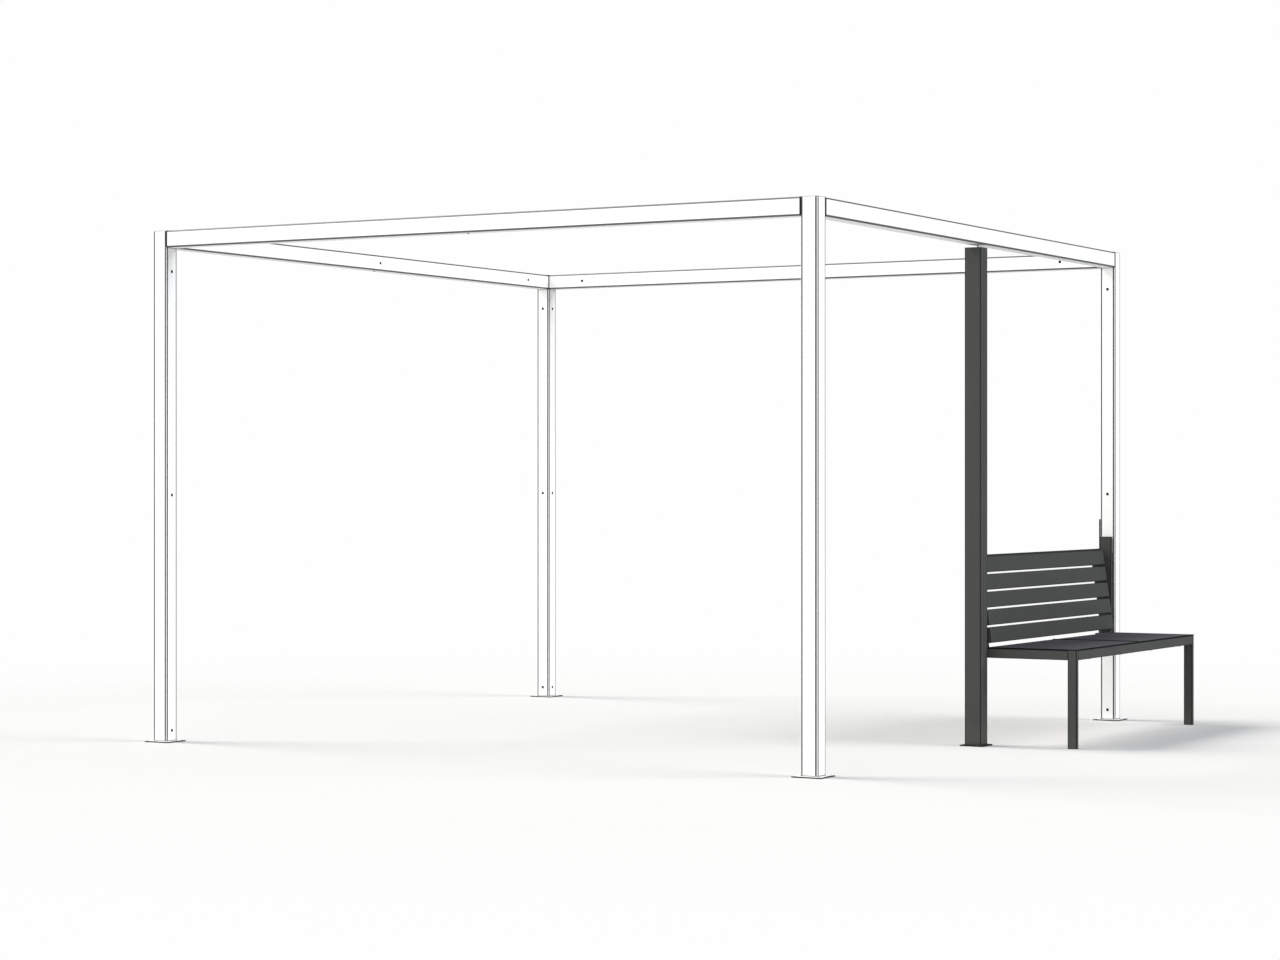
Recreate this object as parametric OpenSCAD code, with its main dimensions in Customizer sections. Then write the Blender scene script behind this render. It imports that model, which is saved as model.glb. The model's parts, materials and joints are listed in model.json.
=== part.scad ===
// Open post-and-beam shelter frame with a slatted bench in one side bay.
// Millimetres, +Z up, +X to the right along the front, +Y to the back.
// The origin is on the ground, at the middle of the whole outline.

/* [Frame] */
// Outer width of the frame along the front
frame_w = 3500; // [2000:10:5000]
// Outer depth of the frame from front to back
frame_d = 3525; // [2400:5:5000]
// Height of the frame from the ground to the top of the beams
frame_h = 2415; // [2000:5:3000]
// Side of the square tube of the posts and beams
post_s = 80; // [70:1:120]
// Wall of the post and beam tube
post_wall = 4; // [2:0.5:5]
// Outer corner radius of the post and beam tube
post_r = 8; // [5:0.5:12]
// Thickness of the caps on the posts
cap_t = 3; // [2:0.5:6]

/* [Base plates] */
// Side of the base plate under a corner post
plate_s = 135; // [125:1:200]
// Side of the base plate under the bench post
bench_plate_s = 115; // [110:1:200]
// Thickness of the base plates
plate_t = 6; // [4:0.5:12]
// Diameter of the anchor holes in the base plates
anchor_d = 11; // [8:0.5:14]
// Distance from an anchor hole's centre to the plate's edges
anchor_edge = 12; // [9:0.5:14]

/* [Fixing holes] */
// Diameter of the fixing holes on the inner faces
fix_d = 10; // [6:0.5:14]
// Height of the lowest fixing hole on a post
fix_low = 55; // [30:1:200]
// Distance of the highest post hole below the beams
fix_drop = 111; // [40:1:400]
// Distance of a beam's outer fixing holes from the posts
fix_end = 222; // [60:1:500]

/* [Bench post] */
// Outer corner radius of the bench post's tube
bench_post_r = 1.5; // [1:0.5:6]
// Gap between the top of the bench post and the beam
head_gap = 15; // [8:1:40]
// Diameter of the stud from the bench post to the beam
stud_d = 8; // [6:1:16]
// Clearance of the stud in the beam's wall, on the diameter
stud_clear = 0.6; // [0.2:0.1:1]
// Offset of the stud from the bench post's axis, towards the back
stud_offset = 20; // [-25:1:25]
// Length of the stud inside the beam
stud_grip = 25; // [10:1:50]

/* [Bench frame] */
// Length of the bench frame
bench_l = 1610; // [1000:5:1700]
// Reach of the seat outside the frame's outer face
seat_reach = 440; // [350:5:600]
// Height of the seat's top
seat_h = 458; // [400:1:520]
// Thickness of the seat panels
seat_t = 5; // [3:0.5:12]
// Gap between the two seat panels
seat_gap = 4; // [2:0.5:12]
// Clearance between the seat panels and the back supports
seat_clear = 2.5; // [1:0.5:10]
// Deep side of the bench tube
rail_h = 45; // [35:1:60]
// Narrow side of the bench tube
rail_w = 25; // [20:1:40]
// Wall of the bench tube
rail_wall = 2; // [1.5:0.5:3]
// Outer corner radius of the bench tube
rail_r = 3.5; // [3.5:0.5:6]
// Thickness of the feet and end caps of the bench tube
foot_t = 4; // [2:0.5:12]

/* [Backrest] */
// Lean of the backrest from upright, in degrees
back_lean = 8.3; // [0:0.1:12]
// Reach of the slats' front over the frame's outer face, at seat height
back_set = 18; // [5:1:60]
// Gap between the seat and the lowest slat
slat_lift = 20; // [8:1:60]
// Number of slats
slat_count = 5; // [2:1:5]
// Width of a slat
slat_w = 74; // [50:1:90]
// Gap between two slats
slat_gap = 9; // [4:1:30]
// Thickness of a slat
slat_t = 20; // [12:1:30]
// Wall of a slat's hollow profile
slat_wall = 2; // [1.5:0.5:3]
// Edge radius of a slat
slat_r = 3; // [2.5:0.5:5]
// Thickness of a slat's end caps
slat_cap_t = 3; // [2:0.5:6]
// Distance of the slats' ends from the bench frame's ends
slat_inset = 10; // [0:1:20]
// Rise of the back supports and the top rail over the top slat's edge
support_rise = 11; // [0:1:30]

/* [End fixings] */
// Thickness of the plates that join the bench to the posts
join_t = 6; // [4:0.5:10]
// Distance of the joining plates from a post's edges
join_inset = 10; // [8:1:20]
// Height of the joining plate above the bench rails
join_rise = 410; // [100:5:450]
// Width of the end upright
upright_w = 60; // [35:1:70]
// Depth of the end upright
upright_d = 20; // [15:1:60]
// Height of the end upright above the seat
upright_rise = 490; // [460:5:700]
// Height of the end bracket's tall leg above the end upright
bracket_rise = 90; // [0:5:150]
// Length of the spacers between the bench and the end upright
spacer_l = 20; // [5:1:40]
// Diameter of the spacers
spacer_d = 24; // [16:1:30]
// Distance of the upper spacer up the backrest's slope
spacer_rise = 150; // [60:5:200]

/* [Hidden] */
$fn = 48;
cut = 1;
least_r = 0.5;
white = [0.95, 0.95, 0.94];
anthracite = [0.30, 0.31, 0.30];
slate = [0.28, 0.28, 0.30];
black = [0.10, 0.10, 0.10];
zinc = [0.70, 0.71, 0.72];

// Frame lines
plate_lip = (plate_s - post_s) / 2;
frame_x = -(seat_reach - plate_lip) / 2;
right_x = frame_x + frame_w / 2;
post_dx = (frame_w - post_s) / 2;
post_dy = (frame_d - post_s) / 2;
side_x = frame_x + post_dx;
beam_z = frame_h - post_s / 2;
beam_low = frame_h - post_s;
fix_heights = [fix_low, beam_low / 2, beam_low - fix_drop];

// Bench lines along the bay, from the back post towards the front
bay_y = frame_d / 2 - post_s;
upright_y = bay_y - join_t - upright_d / 2;
bench_y1 = upright_y - upright_d / 2 - spacer_l;
bench_y0 = bench_y1 - bench_l;
bench_mid = (bench_y0 + bench_y1) / 2;
bench_post_y = bench_y0 - join_t - post_s / 2;
head_z = beam_low - head_gap;
stud_y = bench_post_y + stud_offset;

// Bench lines across the bay and upwards
front_x = right_x + seat_reach;
rear_x = right_x - post_s;
rail_top = seat_h - seat_t;
rail_low = rail_top - rail_h;
rail_z = rail_top - rail_h / 2;
support_front = right_x + back_set + seat_t * tan(back_lean) - slat_t / cos(back_lean);
panel_x0 = support_front + seat_clear;
rail_x0 = rear_x + foot_t;

// Backrest lines along its slope, from the seat's top
slat_pitch = slat_w + slat_gap;
back_top = slat_lift + (slat_count - 1) * slat_pitch + slat_w;
support_top = back_top + support_rise;
upright_top = seat_h + upright_rise;

// Rectangle with round corners, centred
module round_rect(a, b, r) {
  square([a - 2 * r, b], center = true);
  square([a, b - 2 * r], center = true);
  for (sx = [-1, 1], sy = [-1, 1])
    translate([sx * (a / 2 - r), sy * (b / 2 - r)])
      circle(r);
}

// Rectangular tube along +Z, centred on its axis
module tube(a, b, length, r, wall) {
  difference() {
    linear_extrude(length)
      round_rect(a, b, r);
    translate([0, 0, -cut])
      linear_extrude(length + 2 * cut)
        round_rect(a - 2 * wall, b - 2 * wall, max(r - wall, least_r));
  }
}

// Turns a shape that runs along +Z to run along +X or +Y
module along_x() {
  rotate([90, 0, 90])
    children();
}

module along_y() {
  rotate([-90, 0, 0])
    children();
}

// Places a shape at a corner post: sx and sy are its sides
module at_corner(sx, sy) {
  translate([frame_x + sx * post_dx, sy * post_dy, 0])
    children();
}

// Drill from a tube's axis through one wall, along +Z
module drill(d) {
  cylinder(h = post_s, d = d);
}

module corner_post(sx, sy) {
  color(white)
    at_corner(sx, sy)
      difference() {
        translate([0, 0, plate_t])
          tube(post_s, post_s, frame_h - cap_t - plate_t, post_r, post_wall);
        for (z = fix_heights)
          translate([0, 0, z]) {
            rotate([0, -sx * 90, 0])
              drill(fix_d);
            rotate([sy * 90, 0, 0])
              drill(fix_d);
          }
      }
}

// Square plate with an anchor hole at each corner
module anchor_plate(side) {
  reach = side / 2 - anchor_edge;
  difference() {
    translate([-side / 2, -side / 2, 0])
      cube([side, side, plate_t]);
    for (sx = [-1, 1], sy = [-1, 1])
      translate([sx * reach, sy * reach, -cut])
        cylinder(h = plate_t + 2 * cut, d = anchor_d);
  }
}

module base_plate(sx, sy) {
  color(white)
    at_corner(sx, sy)
      anchor_plate(plate_s);
}

module post_cap(sx, sy) {
  color(white)
    at_corner(sx, sy)
      translate([0, 0, frame_h - cap_t])
        linear_extrude(cap_t)
          round_rect(post_s, post_s, post_r);
}

// Beam across the front or the back, between two posts
module cross_beam(sy) {
  length = frame_w - 2 * post_s;
  color(white)
    translate([frame_x, sy * post_dy, beam_z])
      difference() {
        translate([-length / 2, 0, 0])
          along_x()
            tube(post_s, post_s, length, post_r, post_wall);
        for (x = [fix_end - length / 2, 0, length / 2 - fix_end])
          translate([x, 0, 0])
            rotate([sy * 90, 0, 0])
              drill(fix_d);
        rotate([180, 0, 0])
          drill(fix_d);
      }
}

// Beam along the left or the right side: under_y and under_d give its lower hole
module side_beam(sx, under_y, under_d) {
  length = frame_d - 2 * post_s;
  color(white)
    translate([frame_x + sx * post_dx, 0, beam_z])
      difference() {
        translate([0, -length / 2, 0])
          along_y()
            tube(post_s, post_s, length, post_r, post_wall);
        for (y = [fix_end - length / 2, 0, length / 2 - fix_end])
          translate([0, y, 0])
            rotate([0, -sx * 90, 0])
              drill(fix_d);
        translate([0, under_y, 0])
          rotate([180, 0, 0])
            drill(under_d);
      }
}

module bench_post() {
  color(anthracite)
    translate([side_x, bench_post_y, plate_t])
      tube(post_s, post_s, head_z - cap_t - plate_t, bench_post_r, post_wall);
}

module bench_post_base_plate() {
  color(anthracite)
    translate([side_x, bench_post_y, 0])
      anchor_plate(bench_plate_s);
}

module bench_post_head_cap() {
  color(anthracite)
    translate([side_x, bench_post_y, head_z - cap_t])
      linear_extrude(cap_t)
        round_rect(post_s, post_s, bench_post_r);
}

module bench_post_stud() {
  color(zinc)
    translate([side_x, stud_y, head_z])
      cylinder(h = head_gap + stud_grip, d = stud_d);
}

// Flat plate between the bench post and the near bench tubes
module bench_post_joining_plate() {
  color(anthracite)
    translate([rear_x + join_inset, bench_y0 - join_t, rail_low])
      cube([post_s - 2 * join_inset, join_t, rail_h + join_rise]);
}

// Angle round the back post: a short leg towards the bench and a tall leg inside
module end_bracket() {
  color(anthracite) {
    translate([rear_x - join_t, bay_y - join_t, rail_low])
      cube([post_s + join_t - join_inset, join_t, rail_h + join_rise]);
    translate([rear_x - join_t, bay_y, rail_low])
      cube([join_t, post_s - join_inset, upright_top + bracket_rise - rail_low]);
  }
}

module end_upright() {
  color(anthracite)
    translate([side_x, upright_y, rail_low])
      tube(upright_w, upright_d, upright_top - cap_t - rail_low, rail_r, rail_wall);
}

module end_upright_cap() {
  color(black)
    translate([side_x, upright_y, upright_top - cap_t])
      linear_extrude(cap_t)
        round_rect(upright_w, upright_d, rail_r);
}

// Places a shape on the backrest: +Z runs up its slope, +X out of its front
module on_back() {
  translate([right_x + back_set, 0, seat_h])
    rotate([0, -back_lean, 0])
      children();
}

// Two round bars from the bench's far end to the end upright
module end_spacers() {
  color(anthracite) {
    translate([side_x, bench_y1, rail_z])
      along_y()
        cylinder(h = spacer_l, d = spacer_d);
    on_back()
      translate([-slat_t - rail_h / 2, bench_y1, spacer_rise])
        along_y()
          cylinder(h = spacer_l, d = spacer_d);
  }
}

// Leaning tube behind the slats, cut level where it stands on the side rail
module back_support(y) {
  foot = rail_h + slat_lift;
  color(anthracite)
    difference() {
      on_back()
        translate([-slat_t - rail_h / 2, y, -foot])
          tube(rail_h, rail_w, support_top - foot_t + foot, rail_r, rail_wall);
      translate([rear_x - rail_h, y - rail_w, rail_top - 2 * foot])
        cube([post_s + 2 * rail_h, 2 * rail_w, 2 * foot]);
    }
}

// Rail between the supports, level with their tops
module back_top_rail() {
  color(anthracite)
    on_back()
      translate([-slat_t - rail_h / 2, bench_y0 + rail_w, support_top - rail_w / 2])
        along_y()
          tube(rail_h, rail_w, bench_l - 2 * rail_w, rail_r, rail_wall);
}

// Places a shape at slat i, counted from the top
module at_slat(i) {
  on_back()
    translate([-slat_t / 2, 0, back_top - slat_w / 2 - (i - 1) * slat_pitch])
      children();
}

module back_slat(i) {
  length = bench_l - 2 * slat_inset - 2 * slat_cap_t;
  color(anthracite)
    if (i <= slat_count)
      at_slat(i)
        translate([0, bench_mid - length / 2, 0])
          along_y()
            tube(slat_t, slat_w, length, slat_r, slat_wall);
}

module slat_end_caps() {
  color(black)
    for (i = [1:slat_count], y = [bench_y0 + slat_inset, bench_y1 - slat_inset - slat_cap_t])
      at_slat(i)
        translate([0, y, 0])
          along_y()
            linear_extrude(slat_cap_t)
              round_rect(slat_t, slat_w, slat_r);
}

// Caps on the tops of the back supports and the rear ends of the side rails
module bench_tube_caps() {
  color(black)
    for (y = [bench_y0 + rail_w / 2, bench_y1 - rail_w / 2]) {
      on_back()
        translate([-slat_t - rail_h / 2, y, support_top - foot_t])
          linear_extrude(foot_t)
            round_rect(rail_h, rail_w, rail_r);
      translate([rear_x, y, rail_z])
        along_x()
          linear_extrude(foot_t)
            round_rect(rail_w, rail_h, rail_r);
    }
}

module seat_side_rail(y) {
  color(anthracite)
    translate([rail_x0, y, rail_z])
      along_x()
        tube(rail_w, rail_h, front_x - rail_h - rail_x0, rail_r, rail_wall);
}

// Rail along the bench, from one side of the frame to the other
module long_rail(x) {
  color(anthracite)
    translate([x, bench_y0 + rail_w, rail_z])
      along_y()
        tube(rail_w, rail_h, bench_l - 2 * rail_w, rail_r, rail_wall);
}

module seat_front_rail() {
  long_rail(front_x - rail_w / 2);
}

module seat_back_rail() {
  long_rail(panel_x0 + rail_w / 2);
}

module seat_cross_rail() {
  x0 = panel_x0 + rail_w;
  color(anthracite)
    translate([x0, bench_mid, rail_z])
      along_x()
        tube(rail_w, rail_h, front_x - rail_w - x0, rail_r, rail_wall);
}

module bench_leg(y) {
  color(anthracite)
    translate([front_x - rail_h / 2, y, foot_t])
      tube(rail_h, rail_w, rail_top - foot_t, rail_r, rail_wall);
}

module bench_feet() {
  color(black)
    for (y = [bench_y0 + rail_w / 2, bench_y1 - rail_w / 2])
      translate([front_x - rail_h / 2, y, 0])
        linear_extrude(foot_t)
          round_rect(rail_h, rail_w, rail_r);
}

// Flat panel on the bench tubes, from y0 to y1
module seat_panel(y0, y1) {
  color(slate)
    translate([panel_x0, y0, rail_top])
      cube([front_x - panel_x0, y1 - y0, seat_t]);
}

corner_post(1, -1);  // post_front_right
corner_post(-1, -1);  // post_front_left
corner_post(-1, 1);  // post_back_left
corner_post(1, 1);  // post_back_right
base_plate(1, -1);  // base_plate_front_right
base_plate(-1, -1);  // base_plate_front_left
base_plate(-1, 1);  // base_plate_back_left
base_plate(1, 1);  // base_plate_back_right
post_cap(1, -1);  // post_cap_front_right
post_cap(-1, -1);  // post_cap_front_left
post_cap(-1, 1);  // post_cap_back_left
post_cap(1, 1);  // post_cap_back_right
cross_beam(-1);  // beam_front
cross_beam(1);  // beam_back
side_beam(-1, 0, fix_d);  // beam_left
side_beam(1, stud_y, stud_d + stud_clear);  // beam_right
bench_post();
bench_post_base_plate();
bench_post_head_cap();
bench_post_stud();
bench_post_joining_plate();
end_bracket();
end_upright();
end_upright_cap();
end_spacers();
back_support(bench_y0 + rail_w / 2);  // back_support_near
back_support(bench_y1 - rail_w / 2);  // back_support_far
back_top_rail();
back_slat(1);  // back_slat_1
back_slat(2);  // back_slat_2
back_slat(3);  // back_slat_3
back_slat(4);  // back_slat_4
back_slat(5);  // back_slat_5
slat_end_caps();
bench_tube_caps();
seat_side_rail(bench_y0 + rail_w / 2);  // seat_side_rail_near
seat_side_rail(bench_y1 - rail_w / 2);  // seat_side_rail_far
seat_front_rail();
seat_back_rail();
seat_cross_rail();
bench_leg(bench_y0 + rail_w / 2);  // bench_leg_near
bench_leg(bench_y1 - rail_w / 2);  // bench_leg_far
bench_feet();
seat_panel(bench_y0, bench_mid - seat_gap / 2);  // seat_panel_near
seat_panel(bench_mid + seat_gap / 2, bench_y1);  // seat_panel_far
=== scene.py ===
import json
import math

import bpy
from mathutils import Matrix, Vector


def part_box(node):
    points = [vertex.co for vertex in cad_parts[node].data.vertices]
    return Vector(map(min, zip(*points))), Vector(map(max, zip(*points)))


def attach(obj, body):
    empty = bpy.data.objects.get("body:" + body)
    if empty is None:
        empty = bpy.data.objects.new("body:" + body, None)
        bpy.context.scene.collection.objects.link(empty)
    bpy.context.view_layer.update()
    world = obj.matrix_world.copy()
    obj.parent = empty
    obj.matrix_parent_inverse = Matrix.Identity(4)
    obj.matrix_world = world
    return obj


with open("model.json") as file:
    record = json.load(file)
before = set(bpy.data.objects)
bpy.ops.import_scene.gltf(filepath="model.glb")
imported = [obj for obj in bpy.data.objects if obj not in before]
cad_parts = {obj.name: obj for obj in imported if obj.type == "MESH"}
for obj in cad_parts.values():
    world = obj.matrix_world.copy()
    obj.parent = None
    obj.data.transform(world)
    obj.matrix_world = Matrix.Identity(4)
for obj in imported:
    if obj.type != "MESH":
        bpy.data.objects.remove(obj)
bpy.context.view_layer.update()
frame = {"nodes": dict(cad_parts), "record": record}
nodes = frame["nodes"]
mm = 0.001
backLean = 8.3  # degrees that the backrest leans
# each corner with its sides in X and Y, and each beam with the axis that it runs along and its side
corners = (("front_right", 1, -1), ("front_left", -1, -1), ("back_left", -1, 1), ("back_right", 1, 1))
beams = (("beam_front", 0, -1), ("beam_back", 0, 1), ("beam_left", 1, -1), ("beam_right", 1, 1))
print("frame loaded,", len(nodes), "pieces")


def linear(hexColour):
    channels = [int(hexColour[i:i + 2], 16) / 255 for i in (1, 3, 5)]
    return [c / 12.92 if c <= 0.04045 else ((c + 0.055) / 1.055) ** 2.4 for c in channels] + [1.0]


def addNode(tree, kind, settings=None, links=None):
    node = tree.nodes.new(kind)
    for key, value in (settings or {}).items():
        if isinstance(key, str) and hasattr(node, key):
            setattr(node, key, value)
        else:
            node.inputs[key].default_value = value
    for key, source in (links or {}).items():
        tree.links.new(source, node.inputs[key])
    return node


def emptyMaterial(name):
    material = bpy.data.materials.new(name)
    material.use_nodes = True
    material.node_tree.nodes.clear()
    return material


def middleOf(name):
    return [(a + b) / 2 for a, b in zip(*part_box(name))]


def topOf(name):
    x, y = middleOf(name)[:2]
    return x, y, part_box(name)[1][2]


# camera: level, where the post edges of the photograph meet the frame's own edges
photoView = {
    "place": (7.0052, -12.7887, 1.2189),
    "turnDegrees": 29.776,
    "focalPixels": 2964.5,
    "imageWidth": 1280,
    "imageHeight": 960,
    "eyeLevelRow": 484.1,
    "sensorWidth": 36,
    "clipEnd": 200,
}


def addCamera(view):
    lens = bpy.data.cameras.new("photoCamera")
    lens.sensor_fit = "HORIZONTAL"
    lens.sensor_width = view["sensorWidth"]
    lens.lens = view["sensorWidth"] * view["focalPixels"] / view["imageWidth"]
    lens.shift_y = (view["eyeLevelRow"] - view["imageHeight"] / 2) / view["imageWidth"]
    lens.clip_end = view["clipEnd"]
    camera = bpy.data.objects.new("photoCamera", lens)
    camera.location = view["place"]
    camera.rotation_euler = (math.pi / 2, 0, math.radians(view["turnDegrees"]))
    bpy.context.scene.collection.objects.link(camera)
    bpy.context.scene.camera = camera


addCamera(photoView)
print("camera set")


# where posts or legs stand, for the lines along their corners: the middle between the first and the last,
# how far each axis lies from it, and half a section
def cornerLines(first, last):
    low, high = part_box(first)
    ends = middleOf(last)
    middle = [(a + b) / 2 for a, b in zip(middleOf(first), ends)]
    reach = [b - c for b, c in zip(ends, middle)]
    half = [(b - a) / 2 for a, b in zip(low, high)]
    return {"lineMiddle": middle, "lineReach": reach, "lineHalf": half}


framePosts = cornerLines("post_front_left", "post_back_right")
benchPost = cornerLines("bench_post", "bench_post")
benchLegs = cornerLines("bench_leg_near", "bench_leg_far")

# cosines between which a flat face turns into a rounded one, and a level face into a sawn edge
faceTurns = {"flat": 0.9995, "rounded": 0.997, "level": 0.6, "sawn": 0.4}


# powder coat: polyester powder, sprayed and baked, so it is satin with a faint orange peel;
# the tube's corner radii are painted darker, as painted shade along the edges
def powderCoat(name, coat):
    material = emptyMaterial(name)
    tree = material.node_tree
    place = addNode(tree, "ShaderNodeTexCoord").outputs["Object"]
    # how far a face turns from the piece's own flat sides
    normal = addNode(tree, "ShaderNodeNewGeometry").outputs["True Normal"]
    turned = addNode(tree, "ShaderNodeVectorRotate",
                     {"rotation_type": "Y_AXIS", "Angle": math.radians(coat["leanDegrees"])},
                     {"Vector": normal})
    positive = addNode(tree, "ShaderNodeVectorMath", {"operation": "ABSOLUTE"}, {0: turned.outputs[0]})
    sides = addNode(tree, "ShaderNodeSeparateXYZ", None, {0: positive.outputs[0]})
    widest = addNode(tree, "ShaderNodeMath", {"operation": "MAXIMUM"},
                     {0: sides.outputs["X"], 1: sides.outputs["Y"]})
    widest = addNode(tree, "ShaderNodeMath", {"operation": "MAXIMUM"},
                     {0: widest.outputs[0], 1: sides.outputs["Z"]})
    # painted shade: the more a face turns from the piece's flat sides, the more of the dark edge colour it
    # gets
    corner = addNode(tree, "ShaderNodeMapRange",
                     {"From Min": faceTurns["flat"], "From Max": faceTurns["rounded"],
                      "To Min": 0.0, "To Max": coat["edgeShadeShare"]},
                     {"Value": widest.outputs[0]})
    # cloudy spread of the coat, drawn coarser than real so that it shows
    cloud = addNode(tree, "ShaderNodeTexNoise", {"Scale": 1 / (coat["cloudMm"] * mm), "Detail": 3.0},
                    {"Vector": place})
    shade = addNode(tree, "ShaderNodeMix",
                    {"data_type": "RGBA", 6: linear(coat["colour"]), 7: linear(coat["cloudColour"])},
                    {0: cloud.outputs["Fac"]})
    # splashes and dust low down
    height = addNode(tree, "ShaderNodeSeparateXYZ", None, {0: place})
    low = addNode(tree, "ShaderNodeMapRange",
                  {"From Min": 0.0, "From Max": coat["splashMm"] * mm,
                   "To Min": coat["splashShare"], "To Max": 0.0},
                  {"Value": height.outputs["Z"]})
    speck = addNode(tree, "ShaderNodeTexNoise", {"Scale": 1 / (coat["speckMm"] * mm), "Detail": 4.0},
                    {"Vector": place})
    splash = addNode(tree, "ShaderNodeMath", {"operation": "MULTIPLY"},
                     {0: low.outputs[0], 1: speck.outputs["Fac"]})
    dusty = addNode(tree, "ShaderNodeMix", {"data_type": "RGBA", 7: linear(coat["dustColour"])},
                    {0: splash.outputs[0], 6: shade.outputs[2]})
    # painted shade on the corner radii, mixed over the coat
    edgeShaded = addNode(tree, "ShaderNodeMix", {"data_type": "RGBA", 7: linear(coat["edgeShadeColour"])},
                    {0: corner.outputs[0], 6: dusty.outputs[2]})
    if coat["shadeLineShare"]:
        # painted shade: a fine dark line painted on each side of a tube's rounded corners, by the depth from
        # the faces that meet there
        fromMiddle = addNode(tree, "ShaderNodeVectorMath", {"operation": "SUBTRACT", 1: coat["lineMiddle"]},
                             {0: place})
        mirrored = addNode(tree, "ShaderNodeVectorMath", {"operation": "ABSOLUTE"},
                           {0: fromMiddle.outputs[0]})
        fromAxis = addNode(tree, "ShaderNodeVectorMath", {"operation": "SUBTRACT", 1: coat["lineReach"]},
                           {0: mirrored.outputs[0]})
        across = addNode(tree, "ShaderNodeVectorMath", {"operation": "ABSOLUTE"}, {0: fromAxis.outputs[0]})
        inward = addNode(tree, "ShaderNodeVectorMath", {"operation": "SUBTRACT", 0: coat["lineHalf"]},
                         {1: across.outputs[0]})
        depths = addNode(tree, "ShaderNodeSeparateXYZ", None, {0: inward.outputs[0]})
        deeper = addNode(tree, "ShaderNodeMath", {"operation": "MAXIMUM"},
                         {0: depths.outputs["X"], 1: depths.outputs["Y"]})
        begun = addNode(tree, "ShaderNodeMath", {"operation": "LESS_THAN", 1: coat["lineFromMm"] * mm},
                        {0: deeper.outputs[0]})
        ended = addNode(tree, "ShaderNodeMath", {"operation": "GREATER_THAN", 1: coat["lineToMm"] * mm},
                        {0: deeper.outputs[0]})
        both = addNode(tree, "ShaderNodeMath", {"operation": "MULTIPLY"},
                       {0: begun.outputs[0], 1: ended.outputs[0]})
        line = addNode(tree, "ShaderNodeMath", {"operation": "MULTIPLY", 1: coat["shadeLineShare"]},
                       {0: both.outputs[0]})
        edgeShaded = addNode(tree, "ShaderNodeMix", {"data_type": "RGBA", 7: linear(coat["shadeLineColour"])},
                        {0: line.outputs[0], 6: edgeShaded.outputs[2]})
    if coat["rimShadeShare"]:
        # painted shade on the side faces of a plate or cap: they are painted in the dark edge colour
        rim = addNode(tree, "ShaderNodeMapRange",
                      {"From Min": faceTurns["level"], "From Max": faceTurns["sawn"],
                       "To Min": 0.0, "To Max": coat["rimShadeShare"]},
                      {"Value": sides.outputs["Z"]})
        edgeShaded = addNode(tree, "ShaderNodeMix", {"data_type": "RGBA", 7: linear(coat["edgeShadeColour"])},
                        {0: rim.outputs[0], 6: edgeShaded.outputs[2]})
    # skin of the coat: peel or grit, drawn coarser than real so that it shows
    skin = addNode(tree, "ShaderNodeTexNoise", {"Scale": 1 / (coat["skinMm"] * mm), "Detail": 2.0},
                   {"Vector": place})
    smoothest, roughest = coat["roughness"]
    rough = addNode(tree, "ShaderNodeMapRange", {"To Min": smoothest, "To Max": roughest},
                    {"Value": skin.outputs["Fac"]})
    bump = addNode(tree, "ShaderNodeBump",
                   {"Strength": coat["skinStrength"], "Distance": coat["skinDepthMm"] * mm},
                   {"Height": skin.outputs["Fac"]})
    surface = addNode(tree, "ShaderNodeBsdfPrincipled", {"IOR": 1.5, "Specular IOR Level": coat["gloss"]},
                      {"Base Color": edgeShaded.outputs[2], "Roughness": rough.outputs[0],
                       "Normal": bump.outputs[0]})
    addNode(tree, "ShaderNodeOutputMaterial", None, {"Surface": surface.outputs[0]})
    return material


# edge colours are painted shade on corner radii and on the side faces of plates and caps
whiteCoat = {
    "colour": "#F6F6F5", "cloudColour": "#F0F0EF", "cloudMm": 160,
    "edgeShadeColour": "#50504F", "edgeShadeShare": 1.0, "rimShadeShare": 0.0, "shadeLineShare": 0.0, "leanDegrees": 0,
    "dustColour": "#CFCBC2", "splashMm": 130, "splashShare": 0.16, "speckMm": 9,
    "skinMm": 7, "skinStrength": 0.12, "skinDepthMm": 0.4, "roughness": (0.37, 0.49), "gloss": 0.4,
}
anthraciteCoat = {
    "colour": "#393A38", "cloudColour": "#3F403E", "cloudMm": 120,
    "edgeShadeColour": "#141413", "edgeShadeShare": 1.0, "rimShadeShare": 0.0, "shadeLineShare": 0.0, "leanDegrees": 0,
    "dustColour": "#77746C", "splashMm": 110, "splashShare": 0.20, "speckMm": 8,
    "skinMm": 5, "skinStrength": 0.25, "skinDepthMm": 0.5, "roughness": (0.57, 0.69), "gloss": 0.25,
}
# painted shade: the back supports and top rail are painted much darker than the anthracite coat, for the
# slats' shade on them
leaningShadedCoat = dict(anthraciteCoat, leanDegrees=backLean, colour="#151615", cloudColour="#191A19")
slatCoat = dict(leaningShadedCoat, colour="#343634", cloudColour="#3A3C3A", edgeShadeColour="#161717", splashShare=0.0)
# posts and bench legs: painted shade lines along their corners, near black on the anthracite ones
whitePostCoat = dict(whiteCoat, **framePosts, edgeShadeShare=0.3, shadeLineShare=1.0, lineFromMm=11.0, lineToMm=4.6,
                     shadeLineColour="#181818")
benchPostCoat = dict(anthraciteCoat, **benchPost, shadeLineShare=0.9, lineFromMm=4.5, lineToMm=0.1,
                     shadeLineColour="#0A0A0A")
benchLegCoat = dict(benchPostCoat, **benchLegs)
# caps and plates: painted shade on their corner radii and side faces; the bench post's plate is also painted
# darker than the post
whiteCapCoat = dict(whiteCoat, edgeShadeColour="#8C8C8B", edgeShadeShare=0.6, rimShadeShare=0.8)
whitePlateCoat = dict(whiteCoat, edgeShadeColour="#141414", rimShadeShare=1.0)
darkPlateCoat = dict(anthraciteCoat, colour="#1C1C1B", cloudColour="#222221", edgeShadeColour="#050505",
                     rimShadeShare=1.0)


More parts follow.
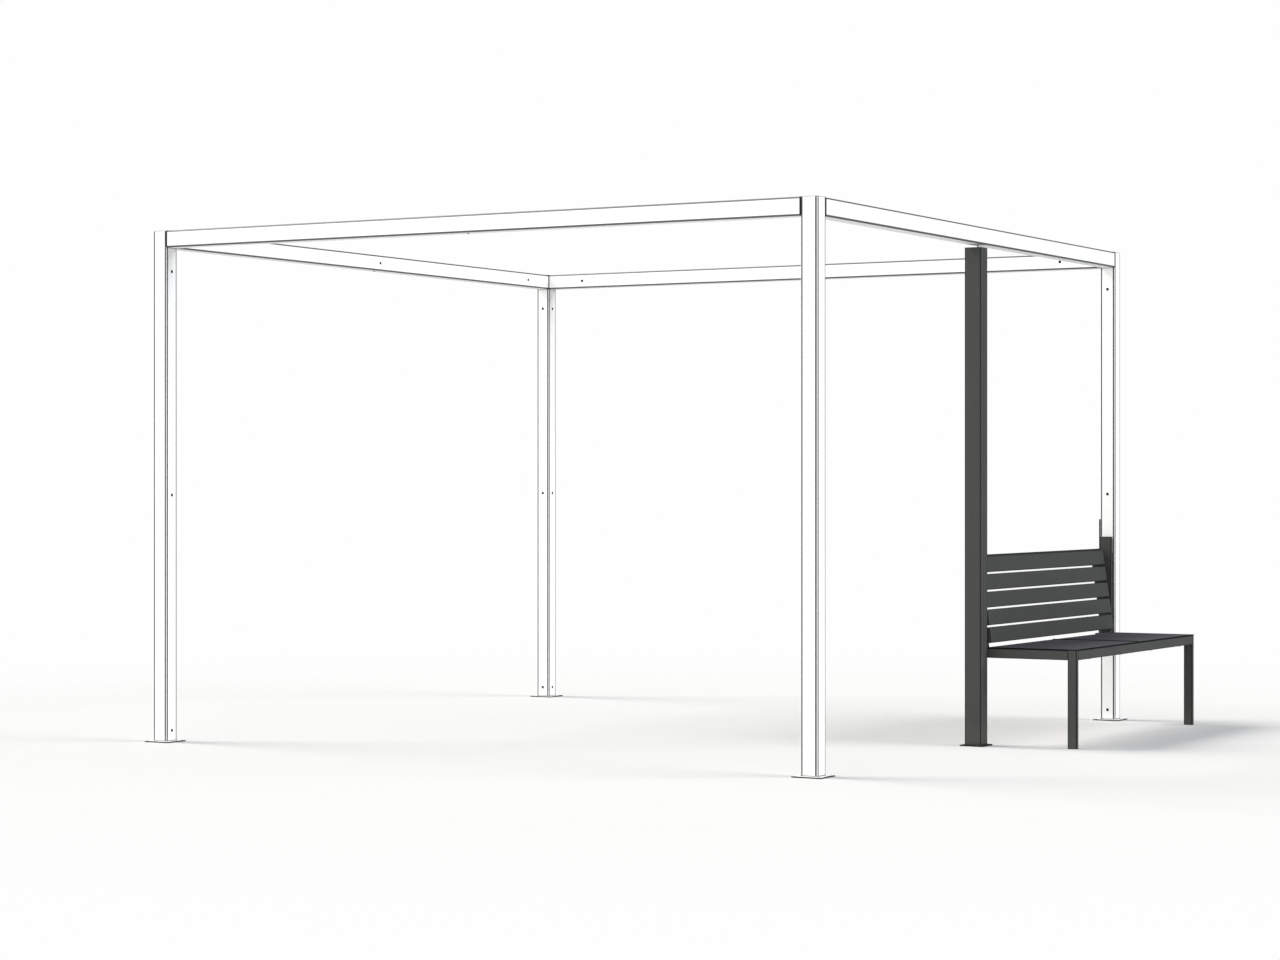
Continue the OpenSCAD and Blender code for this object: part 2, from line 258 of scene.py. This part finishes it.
# compact laminate: printed paper pressed in resin, matt on its faces, with a black core at its edges;
# its cloud and grain are drawn coarser than real so that they show
laminate = {
    "face": "#3F3F43", "faceCloud": "#454549", "cloudMm": 60, "core": "#080809", "coreBelow": 0.5,
    "grainMm": 6, "grainStrength": 0.15, "grainDepthMm": 0.3, "roughness": 0.75, "gloss": 0.05,
}


def compactLaminate(name, board):
    material = emptyMaterial(name)
    tree = material.node_tree
    place = addNode(tree, "ShaderNodeTexCoord").outputs["Object"]
    normal = addNode(tree, "ShaderNodeNewGeometry").outputs["True Normal"]
    sides = addNode(tree, "ShaderNodeSeparateXYZ", None, {0: normal})
    level = addNode(tree, "ShaderNodeMath", {"operation": "ABSOLUTE"}, {0: sides.outputs["Z"]})
    rim = addNode(tree, "ShaderNodeMath", {"operation": "LESS_THAN", 1: board["coreBelow"]},
                  {0: level.outputs[0]})
    cloud = addNode(tree, "ShaderNodeTexNoise", {"Scale": 1 / (board["cloudMm"] * mm), "Detail": 4.0},
                    {"Vector": place})
    face = addNode(tree, "ShaderNodeMix",
                   {"data_type": "RGBA", 6: linear(board["face"]), 7: linear(board["faceCloud"])},
                   {0: cloud.outputs["Fac"]})
    colour = addNode(tree, "ShaderNodeMix", {"data_type": "RGBA", 7: linear(board["core"])},
                     {0: rim.outputs[0], 6: face.outputs[2]})
    grain = addNode(tree, "ShaderNodeTexNoise", {"Scale": 1 / (board["grainMm"] * mm), "Detail": 2.0},
                    {"Vector": place})
    bump = addNode(tree, "ShaderNodeBump",
                   {"Strength": board["grainStrength"], "Distance": board["grainDepthMm"] * mm},
                   {"Height": grain.outputs["Fac"]})
    surface = addNode(tree, "ShaderNodeBsdfPrincipled",
                      {"IOR": 1.5, "Roughness": board["roughness"], "Specular IOR Level": board["gloss"]},
                      {"Base Color": colour.outputs[2], "Normal": bump.outputs[0]})
    addNode(tree, "ShaderNodeOutputMaterial", None, {"Surface": surface.outputs[0]})
    return material


# finishes of the small pieces: moulded plastic is even and half matt, zinc plating a dull silver with a fine
# grain, sealant smoothed by hand nearly black and matt, and rubber black with hardly any shine;
# the grain is drawn coarser than real so that it shows
plainFinishes = {
    "mouldedPolypropylene": {"colour": "#2B2C2B", "worn": "#363735", "metal": 0.0, "roughness": 0.55,
                             "gloss": 0.4, "grainMm": 4},
    "zincPlatedSteel": {"colour": "#B9BBBD", "worn": "#9C9FA2", "metal": 1.0, "roughness": 0.38, "gloss": 0.5,
                        "grainMm": 3},
    "jointSealant": {"colour": "#1E1E1D", "worn": "#262625", "metal": 0.0, "roughness": 0.8, "gloss": 0.15,
                     "grainMm": 3},
    "blackRubber": {"colour": "#0B0B0C", "worn": "#121213", "metal": 0.0, "roughness": 0.85, "gloss": 0.02,
                    "grainMm": 3},
}
plainGrain = {"strength": 0.15, "depthMm": 0.2}


def plainFinish(name):
    look = plainFinishes[name]
    material = emptyMaterial(name)
    tree = material.node_tree
    place = addNode(tree, "ShaderNodeTexCoord").outputs["Object"]
    grain = addNode(tree, "ShaderNodeTexNoise", {"Scale": 1 / (look["grainMm"] * mm), "Detail": 3.0},
                    {"Vector": place})
    colour = addNode(tree, "ShaderNodeMix",
                     {"data_type": "RGBA", 6: linear(look["colour"]), 7: linear(look["worn"])},
                     {0: grain.outputs["Fac"]})
    bump = addNode(tree, "ShaderNodeBump",
                   {"Strength": plainGrain["strength"], "Distance": plainGrain["depthMm"] * mm},
                   {"Height": grain.outputs["Fac"]})
    surface = addNode(tree, "ShaderNodeBsdfPrincipled",
                      {"Metallic": look["metal"], "Roughness": look["roughness"],
                       "Specular IOR Level": look["gloss"]},
                      {"Base Color": colour.outputs[2], "Normal": bump.outputs[0]})
    addNode(tree, "ShaderNodeOutputMaterial", None, {"Surface": surface.outputs[0]})
    return material


whitePaint = powderCoat("whitePowderCoat", whiteCoat)
darkPaint = powderCoat("anthracitePowderCoat", anthraciteCoat)
leaningShadedPaint = powderCoat("anthracitePowderCoatLeaningShaded", leaningShadedCoat)
slatPaint = powderCoat("slatPowderCoat", slatCoat)
whitePostPaint = powderCoat("whitePowderCoatOnPost", whitePostCoat)
benchPostPaint = powderCoat("anthracitePowderCoatOnPost", benchPostCoat)
benchLegPaint = powderCoat("anthracitePowderCoatOnLeg", benchLegCoat)
whiteCapPaint = powderCoat("whitePowderCoatOnCap", whiteCapCoat)
whitePlatePaint = powderCoat("whitePowderCoatOnPlate", whitePlateCoat)
darkPlatePaint = powderCoat("anthracitePowderCoatOnPlate", darkPlateCoat)
seatBoard = compactLaminate("compactLaminate", laminate)
plastic = plainFinish("mouldedPolypropylene")
zinc = plainFinish("zincPlatedSteel")
sealant = plainFinish("jointSealant")
rubber = plainFinish("blackRubber")

# each piece takes the finish of its slot, unless it has its own
slotFinishes = {
    "white_powder_coat": whitePaint, "anthracite_powder_coat": darkPaint, "slat_coating": slatPaint,
    "seat_laminate": seatBoard, "black_plastic": plastic, "zinc_plated_steel": zinc,
}
ownFinishes = {
    "back_support_near": leaningShadedPaint, "back_support_far": leaningShadedPaint, "back_top_rail": leaningShadedPaint,
    "bench_post": benchPostPaint, "bench_post_base_plate": darkPlatePaint,
    "bench_leg_near": benchLegPaint, "bench_leg_far": benchLegPaint,
}
for corner, sideX, sideY in corners:
    ownFinishes["post_" + corner] = whitePostPaint
    ownFinishes["post_cap_" + corner] = whiteCapPaint
    ownFinishes["base_plate_" + corner] = whitePlatePaint
for part in frame["record"]["subparts"]:
    piece = nodes[part["node"]]
    piece.data.materials.clear()
    piece.data.materials.append(ownFinishes.get(part["node"], slotFinishes[part["material_slot"]]))
print("finishes set")


# Geometry Nodes: a tree with named inputs that ends in one placed, realized and finished shape
def startTree(name, sizes):
    tree = bpy.data.node_groups.new(name, "GeometryNodeTree")
    tree.interface.new_socket(name="Geometry", in_out="INPUT", socket_type="NodeSocketGeometry")
    for size in sizes:
        tree.interface.new_socket(name=size, in_out="INPUT", socket_type="NodeSocketFloat")
    tree.interface.new_socket(name="Finish", in_out="INPUT", socket_type="NodeSocketMaterial")
    tree.interface.new_socket(name="Geometry", in_out="OUTPUT", socket_type="NodeSocketGeometry")
    return tree, addNode(tree, "NodeGroupInput").outputs


def endTree(tree, given, shape):
    turn = addNode(tree, "GeometryNodeInputNamedAttribute", {"data_type": "FLOAT_VECTOR", "Name": "turn"})
    turned = addNode(tree, "FunctionNodeEulerToRotation", None, {0: turn.outputs[0]})
    spread = addNode(tree, "GeometryNodeInstanceOnPoints", None,
                     {"Points": given["Geometry"], "Instance": shape, "Rotation": turned.outputs[0]})
    plain = addNode(tree, "GeometryNodeRealizeInstances", None, {0: spread.outputs[0]})
    finished = addNode(tree, "GeometryNodeSetMaterial", None,
                       {0: plain.outputs[0], "Material": given["Finish"]})
    addNode(tree, "NodeGroupOutput", None, {0: finished.outputs[0]})
    return tree


# round bead that runs round a square tube
def beadRingTree():
    tree, given = startTree("beadRing", ["Side", "Corner", "Bead"])
    square = addNode(tree, "GeometryNodeCurvePrimitiveQuadrilateral", {"mode": "RECTANGLE"},
                     {"Width": given["Side"], "Height": given["Side"]})
    path = addNode(tree, "GeometryNodeFilletCurve", {"mode": "POLY", "Count": 4},
                   {"Curve": square.outputs[0], "Radius": given["Corner"]})
    section = addNode(tree, "GeometryNodeCurvePrimitiveCircle", {"Resolution": 12}, {"Radius": given["Bead"]})
    ring = addNode(tree, "GeometryNodeCurveToMesh", None,
                   {"Curve": path.outputs[0], "Profile Curve": section.outputs[0]})
    return endTree(tree, given, ring.outputs[0])


# straight bead along its own Z axis, with the ripples of a hand-run weld
def beadRunTree():
    tree, given = startTree("beadRun", ["Length", "Bead", "Ripple"])
    half = addNode(tree, "ShaderNodeMath", {"operation": "MULTIPLY", 1: 0.5}, {0: given["Length"]})
    low = addNode(tree, "ShaderNodeMath", {"operation": "MULTIPLY", 1: -0.5}, {0: given["Length"]})
    top = addNode(tree, "ShaderNodeCombineXYZ", None, {"Z": half.outputs[0]})
    bottom = addNode(tree, "ShaderNodeCombineXYZ", None, {"Z": low.outputs[0]})
    line = addNode(tree, "GeometryNodeCurvePrimitiveLine", None,
                   {"Start": bottom.outputs[0], "End": top.outputs[0]})
    steps = addNode(tree, "GeometryNodeResampleCurve", {"Count": 25}, {"Curve": line.outputs[0]})
    index = addNode(tree, "GeometryNodeInputIndex")
    wave = addNode(tree, "ShaderNodeMath", {"operation": "PINGPONG", 1: 1.0}, {0: index.outputs[0]})
    dip = addNode(tree, "ShaderNodeMath", {"operation": "MULTIPLY"}, {0: wave.outputs[0], 1: given["Ripple"]})
    swell = addNode(tree, "ShaderNodeMath", {"operation": "SUBTRACT", 0: 1.0}, {1: dip.outputs[0]})
    section = addNode(tree, "GeometryNodeCurvePrimitiveCircle", {"Resolution": 10}, {"Radius": given["Bead"]})
    run = addNode(tree, "GeometryNodeCurveToMesh", {"Fill Caps": True},
                  {"Curve": steps.outputs[0], "Profile Curve": section.outputs[0], "Scale": swell.outputs[0]})
    return endTree(tree, given, run.outputs[0])


# low round screw head on its own Z axis, with a socket sunk in its top
def screwHeadTree():
    crownShare = 0.72  # of the head's radius
    sunkShare = 0.7  # of the head's height
    tree, given = startTree("screwHead", ["Radius", "Height", "Socket"])
    crown = addNode(tree, "ShaderNodeMath", {"operation": "MULTIPLY", 1: crownShare}, {0: given["Radius"]})
    head = addNode(tree, "GeometryNodeMeshCone", {"Vertices": 24},
                   {"Radius Top": crown.outputs[0], "Radius Bottom": given["Radius"],
                    "Depth": given["Height"]})
    inner = addNode(tree, "GeometryNodeExtrudeMesh", {"Offset Scale": 0.0},
                    {"Mesh": head.outputs["Mesh"], "Selection": head.outputs["Top"]})
    drawn = addNode(tree, "GeometryNodeScaleElements", None,
                    {"Geometry": inner.outputs["Mesh"], "Selection": inner.outputs["Top"],
                     "Scale": given["Socket"]})
    depth = addNode(tree, "ShaderNodeMath", {"operation": "MULTIPLY", 1: -sunkShare}, {0: given["Height"]})
    sunk = addNode(tree, "GeometryNodeExtrudeMesh", None,
                   {"Mesh": drawn.outputs[0], "Selection": inner.outputs["Top"],
                    "Offset Scale": depth.outputs[0]})
    return endTree(tree, given, sunk.outputs["Mesh"])


# press-in plug on its own Z axis: a thin flange with a low dome on it
def holePlugTree():
    domeShare = 0.8  # of the flange's radius
    tree, given = startTree("holePlug", ["Radius", "Flange", "Dome"])
    flange = addNode(tree, "GeometryNodeMeshCylinder", {"Vertices": 24},
                     {"Radius": given["Radius"], "Depth": given["Flange"]})
    crown = addNode(tree, "ShaderNodeMath", {"operation": "MULTIPLY", 1: domeShare}, {0: given["Radius"]})
    ball = addNode(tree, "GeometryNodeMeshUVSphere", {"Segments": 24, "Rings": 10},
                   {"Radius": crown.outputs[0]})
    share = addNode(tree, "ShaderNodeMath", {"operation": "DIVIDE"}, {0: given["Dome"], 1: crown.outputs[0]})
    squeeze = addNode(tree, "ShaderNodeCombineXYZ", {"X": 1.0, "Y": 1.0}, {"Z": share.outputs[0]})
    dome = addNode(tree, "GeometryNodeTransform", None,
                   {"Geometry": ball.outputs[0], "Scale": squeeze.outputs[0]})
    both = addNode(tree, "GeometryNodeJoinGeometry", None, {0: flange.outputs[0]})
    tree.links.new(dome.outputs[0], both.inputs[0])
    return endTree(tree, given, both.outputs[0])


beadRing = beadRingTree()
beadRun = beadRunTree()
screwHead = screwHeadTree()
holePlug = holePlugTree()
shares = ("Ripple", "Socket")  # inputs that are shares, not millimetres


# one plain mesh from a tree set on marked points; a spot is its place and its turn in degrees
def dressWith(name, tree, spots, settings, finish):
    mesh = bpy.data.meshes.new(name + "Spots")
    mesh.from_pydata([place for place, turn in spots], [], [])
    turns = mesh.attributes.new("turn", "FLOAT_VECTOR", "POINT")
    for spot, (place, turn) in zip(turns.data, spots):
        spot.vector = [math.radians(a) for a in turn]
    piece = bpy.data.objects.new(name, mesh)
    bpy.context.scene.collection.objects.link(piece)
    modifier = piece.modifiers.new(name, "NODES")
    modifier.node_group = tree
    for socket in tree.interface.items_tree:
        if socket.in_out == "INPUT" and socket.name in settings:
            unit = 1.0 if socket.name in shares else mm
            modifier[socket.identifier] = settings[socket.name] * unit
        if socket.in_out == "INPUT" and socket.name == "Finish":
            modifier[socket.identifier] = finish
    ready = piece.evaluated_get(bpy.context.evaluated_depsgraph_get())
    solid = bpy.data.meshes.new_from_object(ready)
    piece.modifiers.clear()
    piece.data = solid
    bpy.data.meshes.remove(mesh)
    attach(piece, "root")


# dark joint lines where the beams butt against the posts
beamJoints = {"Side": 71.2, "Corner": 2.0, "Bead": 6.0, "onBeamMm": 0.4}


def addBeamJoints(sizes):
    spots = []
    for name, axis, beamSide in beams:
        for end, side in zip(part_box(name), (-1, 1)):
            place = middleOf(name)
            place[axis] = end[axis] - side * sizes["onBeamMm"] * mm
            spots.append((place, (0, 90, 0) if axis == 0 else (90, 0, 0)))
    dressWith("beamJointSealant", beadRing, spots, sizes, sealant)


addBeamJoints(beamJoints)


# black rubber plugs in the fixing holes of the posts' and beams' inner faces
plugs = {"Radius": 7.2, "Flange": 1.4, "Dome": 2.8, "postHeightsMm": (55, 1167.5, 2224), "fromPostMm": 222}


def addHolePlugs(sizes):
    spots = []
    for corner, sideX, sideY in corners:
        low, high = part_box("post_" + corner)
        x, y = middleOf("post_" + corner)[:2]
        half = (high[0] - low[0]) / 2
        for height in sizes["postHeightsMm"]:
            spots.append(((x - sideX * half, y, height * mm), (0, -90 * sideX, 0)))
            spots.append(((x, y - sideY * half, height * mm), (90 * sideY, 0, 0)))
    fromPost = sizes["fromPostMm"] * mm
    for name, axis, side in beams:
        low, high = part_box(name)
        middle = middleOf(name)
        inner = (low if side > 0 else high)[1 - axis]
        for along in (low[axis] + fromPost, middle[axis], high[axis] - fromPost):
            place = [inner, inner, middle[2]]
            place[axis] = along
            spots.append((place, (90 * side, 0, 0) if axis == 0 else (0, -90 * side, 0)))
        if name != "beam_right":  # the stud sits there
            spots.append(((middle[0], middle[1], low[2]), (180, 0, 0)))
    dressWith("fixingHolePlugs", holePlug, spots, sizes, rubber)


addHolePlugs(plugs)


# weld bead round the foot of each post, on its plate
footWelds = {"Side": 80.0, "Corner": 8.0, "Bead": 3.0, "benchPostCorner": 2.0}


def addFootWelds(sizes):
    spots = [(topOf("base_plate_" + corner), (0, 0, 0)) for corner, sideX, sideY in corners]
    dressWith("postFootWelds", beadRing, spots, sizes, whitePaint)
    spots = [(topOf("bench_post_base_plate"), (0, 0, 0))]
    sharper = dict(sizes, Corner=sizes["benchPostCorner"])
    dressWith("benchPostFootWeld", beadRing, spots, sharper, darkPaint)


addFootWelds(footWelds)


# welds in the inner corners of the bench frame, under the seat
benchWelds = {"Length": 36.0, "Bead": 2.6, "Ripple": 0.22}


def addBenchWelds(sizes):
    front, back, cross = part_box("seat_front_rail"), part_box("seat_back_rail"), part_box("seat_cross_rail")
    middle = middleOf("seat_front_rail")[2]
    spots = []
    for y in (front[0][1], front[1][1], cross[0][1], cross[1][1]):
        spots += [((front[0][0], y, middle), (0, 0, 0)), ((back[1][0], y, middle), (0, 0, 0))]
    for y in (back[0][1], back[1][1]):
        spots.append(((back[0][0], y, middle), (0, 0, 0)))
    dressWith("benchWelds", beadRun, spots, sizes, darkPaint)


addBenchWelds(benchWelds)


# rubber strip in the gap between the two seat panels, a little proud of them
seatStrip = {"Bead": 4.5, "Ripple": 0.0, "standsMm": 3.2}


def addSeatStrip(sizes):
    low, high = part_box("seat_panel_near")
    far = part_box("seat_panel_far")[0]
    height = high[2] + (sizes["standsMm"] - sizes["Bead"]) * mm
    spots = [(((low[0] + high[0]) / 2, (high[1] + far[1]) / 2, height), (0, 90, 0))]
    fitted = dict(sizes, Length=(high[0] - low[0]) / mm)
    dressWith("seatJointStrip", beadRun, spots, fitted, rubber)


addSeatStrip(seatStrip)


# screws through the back supports into the slats, with their heads half a slat and a whole support behind
slatScrews = {"Radius": 7.0, "Height": 4.0, "Socket": 0.55, "behindMm": 55, "slats": 5}


def addSlatScrews(sizes):
    lean = math.radians(backLean)
    behind = sizes["behindMm"] * mm
    spots = []
    for name in ("back_support_near", "back_support_far"):
        y = middleOf(name)[1]
        for i in range(1, sizes["slats"] + 1):
            slat = middleOf("back_slat_%d" % i)
            place = (slat[0] - behind * math.cos(lean), y, slat[2] - behind * math.sin(lean))
            spots.append((place, (0, -90 - backLean, 0)))
    dressWith("slatScrews", screwHead, spots, sizes, zinc)


addSlatScrews(slatScrews)


# bolts through the end bracket's tall leg into the back post
bracketBolts = {"Radius": 9.0, "Height": 5.5, "Socket": 0.55, "heightsMm": (500, 720, 985)}


def addBracketBolts(sizes):
    low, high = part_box("end_bracket")
    y = (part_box("post_back_right")[0][1] + high[1]) / 2
    spots = [((low[0], y, height * mm), (0, -90, 0)) for height in sizes["heightsMm"]]
    dressWith("bracketBolts", screwHead, spots, sizes, zinc)


addBracketBolts(bracketBolts)


# screws through the seat's long rails into its panels, from below
seatScrews = {"Radius": 6.0, "Height": 3.2, "Socket": 0.5, "fromEndMm": 160, "eachRail": 4}


def addSeatScrews(sizes):
    spots = []
    for name in ("seat_front_rail", "seat_back_rail"):
        low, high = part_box(name)
        first, last = low[1] + sizes["fromEndMm"] * mm, high[1] - sizes["fromEndMm"] * mm
        for i in range(sizes["eachRail"]):
            y = first + (last - first) * i / (sizes["eachRail"] - 1)
            spots.append((((low[0] + high[0]) / 2, y, low[2]), (180, 0, 0)))
    dressWith("seatScrews", screwHead, spots, sizes, zinc)


addSeatScrews(seatScrews)
print("seams, welds and screws set")


# studio: pale floor that fades into the backdrop, a soft sun from the left, a fill from the right,
# a broad light from the front and a pale sky
studio = {
    "floorReach": 40.0, "fadeFrom": 2.5, "fadeTo": 7.2, "floorColour": "#BEBEBE", "backdrop": "#FEFEFE",
    "sky": (0.41, 0.43, 0.465),
    "lamps": {
        "softSun": {"turn": (46, 0, -80), "strength": 3.9, "softness": 32, "colour": (1.0, 0.972, 0.91)},
        "fillSun": {"turn": (56, 0, 105), "strength": 2.6, "softness": 40, "colour": (0.985, 0.98, 1.0)},
        "frontSun": {"turn": (82, 0, -14), "strength": 2.05, "softness": 90, "colour": (0.985, 1.0, 0.93)},
    },
}


def addFloor(setup):
    mesh = bpy.data.meshes.new("studioFloor")
    reach = setup["floorReach"]
    mesh.from_pydata([(-reach, -reach, 0), (reach, -reach, 0), (reach, reach, 0), (-reach, reach, 0)],
                     [], [(0, 1, 2, 3)])
    floor = bpy.data.objects.new("studioFloor", mesh)
    bpy.context.scene.collection.objects.link(floor)
    paper = emptyMaterial("studioPaper")
    tree = paper.node_tree
    place = addNode(tree, "ShaderNodeTexCoord").outputs["Object"]
    away = addNode(tree, "ShaderNodeVectorMath", {"operation": "LENGTH"}, {0: place})
    fade = addNode(tree, "ShaderNodeMapRange",
                   {"interpolation_type": "SMOOTHSTEP", "From Min": setup["fadeFrom"],
                    "From Max": setup["fadeTo"]},
                   {"Value": away.outputs["Value"]})
    sheet = addNode(tree, "ShaderNodeBsdfDiffuse", {"Color": linear(setup["floorColour"])})
    clear = addNode(tree, "ShaderNodeBsdfTransparent")
    mixed = addNode(tree, "ShaderNodeMixShader", None,
                    {0: fade.outputs[0], 1: sheet.outputs[0], 2: clear.outputs[0]})
    addNode(tree, "ShaderNodeOutputMaterial", None, {"Surface": mixed.outputs[0]})
    mesh.materials.append(paper)


def addLight(setup):
    world = bpy.data.worlds.new("paleStudio")
    bpy.context.scene.world = world
    world.use_nodes = True
    tree = world.node_tree
    tree.nodes.clear()
    seen = addNode(tree, "ShaderNodeLightPath").outputs["Is Camera Ray"]
    shown = addNode(tree, "ShaderNodeMix",
                    {"data_type": "RGBA", 6: (*setup["sky"], 1), 7: linear(setup["backdrop"])}, {0: seen})
    glow = addNode(tree, "ShaderNodeBackground", None, {"Color": shown.outputs[2]})
    addNode(tree, "ShaderNodeOutputWorld", None, {"Surface": glow.outputs[0]})
    for name, lamp in setup["lamps"].items():
        light = bpy.data.lights.new(name, "SUN")
        light.energy = lamp["strength"]
        light.angle = math.radians(lamp["softness"])
        light.color = lamp["colour"]
        sun = bpy.data.objects.new(name, light)
        sun.rotation_euler = [math.radians(a) for a in lamp["turn"]]
        bpy.context.scene.collection.objects.link(sun)
    bpy.context.scene.view_settings.view_transform = "Standard"


addFloor(studio)
addLight(studio)
print("studio set")
